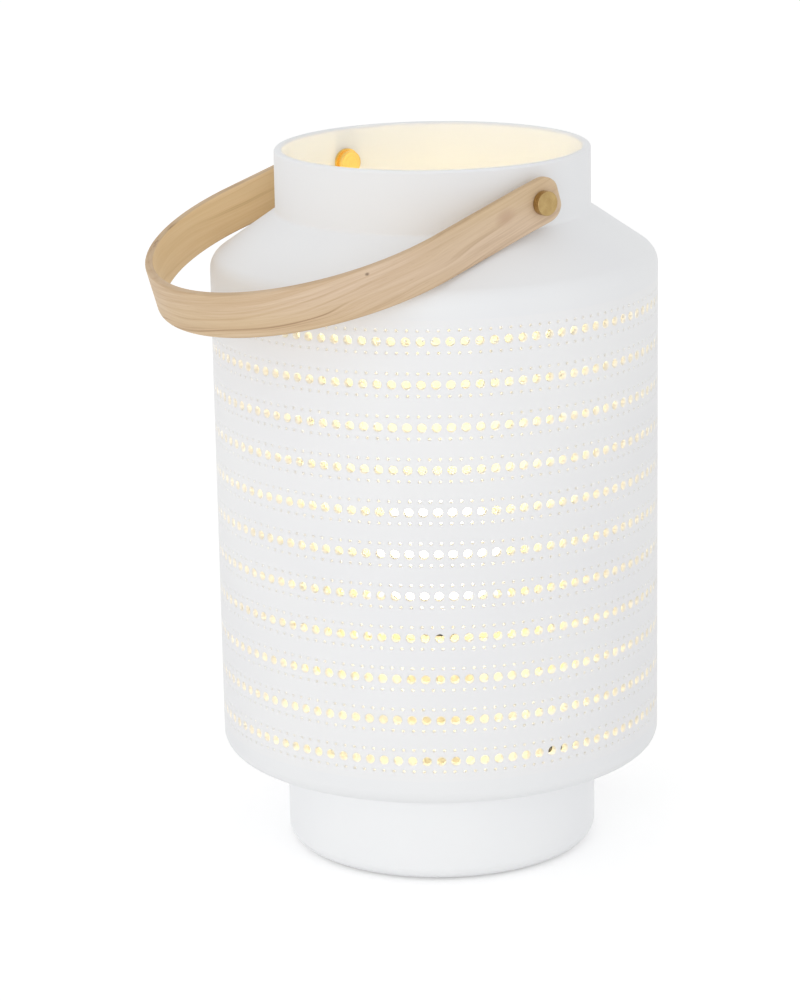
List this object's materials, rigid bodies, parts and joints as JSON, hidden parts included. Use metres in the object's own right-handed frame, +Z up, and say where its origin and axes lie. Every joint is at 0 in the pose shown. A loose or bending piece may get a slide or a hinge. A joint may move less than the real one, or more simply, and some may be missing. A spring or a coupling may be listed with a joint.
{
  "type": "lantern table lamp",
  "caption": "Perforated porcelain lantern table lamp: a shouldered drum with an open neck, a bent-wood carrying handle on brass pivots, and a screw-in globe bulb inside.",
  "frame": {"origin": "centre of the felt face that the lamp stands on", "axes": "+Z up along the lamp's axis; +X along the handle's pivot axis; the handle lies down on the -Y side and the cable leaves at the back, +Y"},
  "size_m": [0.16, 0.1895, 0.2574],
  "materials": {
    "porcelain": "matte unglazed porcelain, opaque",
    "felt": "pressed felt",
    "base_plate": "smooth fibre board",
    "rubber": "soft, matte",
    "plated_steel": "zinc plated",
    "stem_steel": "white powder coat",
    "holder_plastic": "heat-resistant moulding, white",
    "ceramic_insert": "unglazed ceramic, opaque",
    "brass_polished": "satin faces, polished edges",
    "brass_plain": "plain",
    "cap_metal": "nickel plated",
    "tip_metal": "tinned",
    "black_insulator": "black vitreous, opaque",
    "collar_plastic": "white",
    "led_board": "white solder mask",
    "led_chips": "yellow phosphor",
    "opal_glass": "opal, lit from inside",
    "ash_wood": "bent, fine sanded, oiled"
  },
  "bodies": {
    "lamp": {"porcelain_body": "porcelain", "base_felt": "felt", "base_cover": "base_plate", "cable_bush": "rubber", "threaded_nipple": "plated_steel", "floor_nut": "plated_steel", "floor_steel_washer": "plated_steel", "lower_rubber_washer": "rubber", "upper_rubber_washer": "rubber", "holder_stem": "stem_steel", "holder_cap": "holder_plastic", "holder_lock_screw": "plated_steel", "holder_skirt": "holder_plastic", "holder_insert": "ceramic_insert", "holder_terminal_screws": "brass_plain", "holder_thread_shell": "brass_plain", "holder_centre_contact": "brass_plain", "bulb_tip": "tip_metal", "bulb_insulator": "black_insulator", "bulb_screw_cap": "cap_metal", "bulb_collar": "collar_plastic", "bulb_led_board": "led_board", "bulb_led_chips": "led_chips", "bulb_globe": "opal_glass", "right_handle_pin": "brass_polished", "right_handle_screw": "brass_polished", "right_handle_spacer": "brass_polished", "right_inner_washer": "brass_polished", "left_handle_pin": "brass_polished", "left_handle_screw": "brass_polished", "left_handle_spacer": "brass_polished", "left_inner_washer": "brass_polished"},
    "handle": {"handle_strip": "ash_wood"}
  },
  "joints": [
    {"name": "handle_swing", "type": "hinge", "parent": "lamp", "child": "handle", "pos_m": [0, 0, 0.24475], "axis": [-1, 0, 0], "range_deg": [0, 214.25]}
  ]
}
